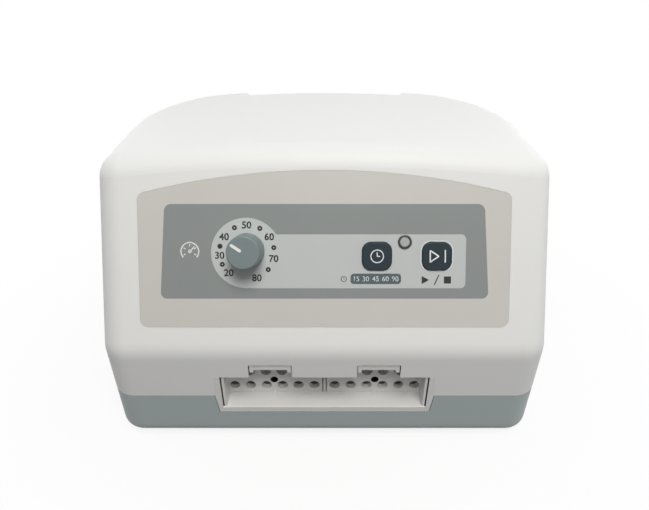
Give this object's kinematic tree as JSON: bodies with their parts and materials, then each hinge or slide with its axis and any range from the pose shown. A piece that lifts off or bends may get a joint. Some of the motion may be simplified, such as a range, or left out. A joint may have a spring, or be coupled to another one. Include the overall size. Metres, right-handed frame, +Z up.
{
  "type": "compression therapy pump",
  "caption": "Desk unit that feeds air in turn to two sockets of hose ports, with a pressure dial and two keys on its sloping face and a finger grip behind.",
  "frame": {"origin": "under the middle of the unit's box, on the surface its feet stand on", "axes": "+Z up, -Y out of the front wall with the air sockets, +X to the right seen from the front"},
  "size_m": [0.272, 0.1932, 0.1812],
  "materials": {
    "housing_white": "satin gloss moulded",
    "base_grey": "fine satin moulded",
    "overlay_film": "printed film, satin",
    "knob_grey": "satin",
    "marker_white": "satin",
    "key_navy": "satin silicone",
    "lamp_ring": "satin",
    "lamp_lens": "diffuse",
    "window_smoke": "gloss smoke",
    "port_white": "satin",
    "rubber_black": "matte",
    "rubber_grey": "matte",
    "steel_zinc": "zinc plated",
    "steel_dark": "black oxide",
    "aluminium_cast": "cast",
    "brass_pin": "plated",
    "copper_coil": "enamelled wire",
    "board_green": "solder mask",
    "plastic_black": "satin",
    "plastic_natural": "natural nylon",
    "hose_clear": "soft vinyl",
    "foam_grey": "open foam"
  },
  "bodies": {
    "case": {"upper_housing": "housing_white", "base_tray": "base_grey", "feet": "rubber_black", "housing_screws": "steel_dark", "control_overlay": "overlay_film", "status_bezel": "lamp_ring", "status_lens": "lamp_lens", "timer_window": "window_smoke", "potentiometer": "plastic_black", "key_switches": "plastic_black", "timer_leds": "marker_white", "control_board": "board_green", "board_screws": "steel_zinc", "outlet_frame": "port_white", "outlet_block_left": "port_white", "outlet_block_right": "port_white", "port_seals": "rubber_grey", "latch_bar_left": "port_white", "latch_bar_right": "port_white", "gallery_gasket": "rubber_grey", "gallery_plate": "plastic_natural", "cell_hoses": "hose_clear", "chassis_plate": "steel_zinc", "chassis_screws": "steel_zinc", "compressor_isolators": "rubber_black", "compressor_body": "aluminium_cast", "compressor_coils": "copper_coil", "compressor_diaphragms": "rubber_black", "compressor_heads": "plastic_black", "distributor_body": "plastic_natural", "distributor_cover": "plastic_natural", "motor_bracket": "steel_zinc", "gearmotor": "steel_zinc", "supply_hose": "hose_clear", "relief_valve_body": "brass_pin", "board_standoffs": "brass_pin", "power_board": "board_green", "transformer": "steel_dark", "mains_inlet": "plastic_black", "inlet_pins": "brass_pin", "switch_frame": "plastic_black", "mains_leads": "plastic_black", "filter_frame": "plastic_black", "filter_pad": "foam_grey", "handle_cup": "base_grey", "signal_cable": "plastic_black"},
    "pressure_knob": {"pressure_knob": "knob_grey", "knob_pointer": "marker_white", "knob_set_screw": "steel_dark", "pot_shaft": "aluminium_cast"},
    "time_key": {"time_key": "key_navy"},
    "start_key": {"start_key": "key_navy"},
    "power_rocker": {"power_rocker": "plastic_black"},
    "fuse_drawer": {"fuse_drawer": "plastic_black"},
    "valve_rotor": {"distributor_rotor": "plastic_black", "rotor_gear": "plastic_natural"},
    "motor_pinion": {"motor_pinion": "brass_pin"},
    "armature": {"compressor_armature": "steel_zinc"},
    "relief_plunger": {"relief_plunger": "steel_zinc"}
  },
  "joints": [
    {"name": "pressure_dial", "type": "hinge", "parent": "case", "child": "pressure_knob", "pos_m": [-0.0456, -0.06782, 0.12853], "axis": [0, -0.8829, 0.4695], "range_deg": [-218, 83]},
    {"name": "time_press", "type": "slide", "parent": "case", "child": "time_key", "axis": [0, 0.8829, -0.4695], "range_m": [0, 0.0012], "stiffness_N_per_m": 700},
    {"name": "start_press", "type": "slide", "parent": "case", "child": "start_key", "axis": [0, 0.8829, -0.4695], "range_m": [0, 0.0012], "stiffness_N_per_m": 700},
    {"name": "power_rock", "type": "hinge", "parent": "case", "child": "power_rocker", "pos_m": [0.012, 0.0894, 0.072], "axis": [1, 0, 0], "range_deg": [-12, 0]},
    {"name": "fuse_slide", "type": "slide", "parent": "case", "child": "fuse_drawer", "axis": [0, 1, 0], "range_m": [0, 0.016]},
    {"name": "valve_turn", "type": "hinge", "parent": "case", "child": "valve_rotor", "pos_m": [-0.05, 0.008, 0.06], "axis": [0, 0, 1], "continuous": true},
    {"name": "pinion_turn", "type": "hinge", "parent": "case", "child": "motor_pinion", "pos_m": [-0.05, 0.038, 0.068], "axis": [0, 0, 1], "continuous": true},
    {"name": "armature_stroke", "type": "slide", "parent": "case", "child": "armature", "axis": [1, 0, 0], "range_m": [-0.0015, 0.0015], "stiffness_N_per_m": 1500},
    {"name": "relief_lift", "type": "slide", "parent": "case", "child": "relief_plunger", "axis": [0, 0, 1], "range_m": [0, 0.002], "stiffness_N_per_m": 600}
  ],
  "couplings": [
    {"joint": "pinion_turn", "follows": "valve_turn", "ratio": -4}
  ]
}
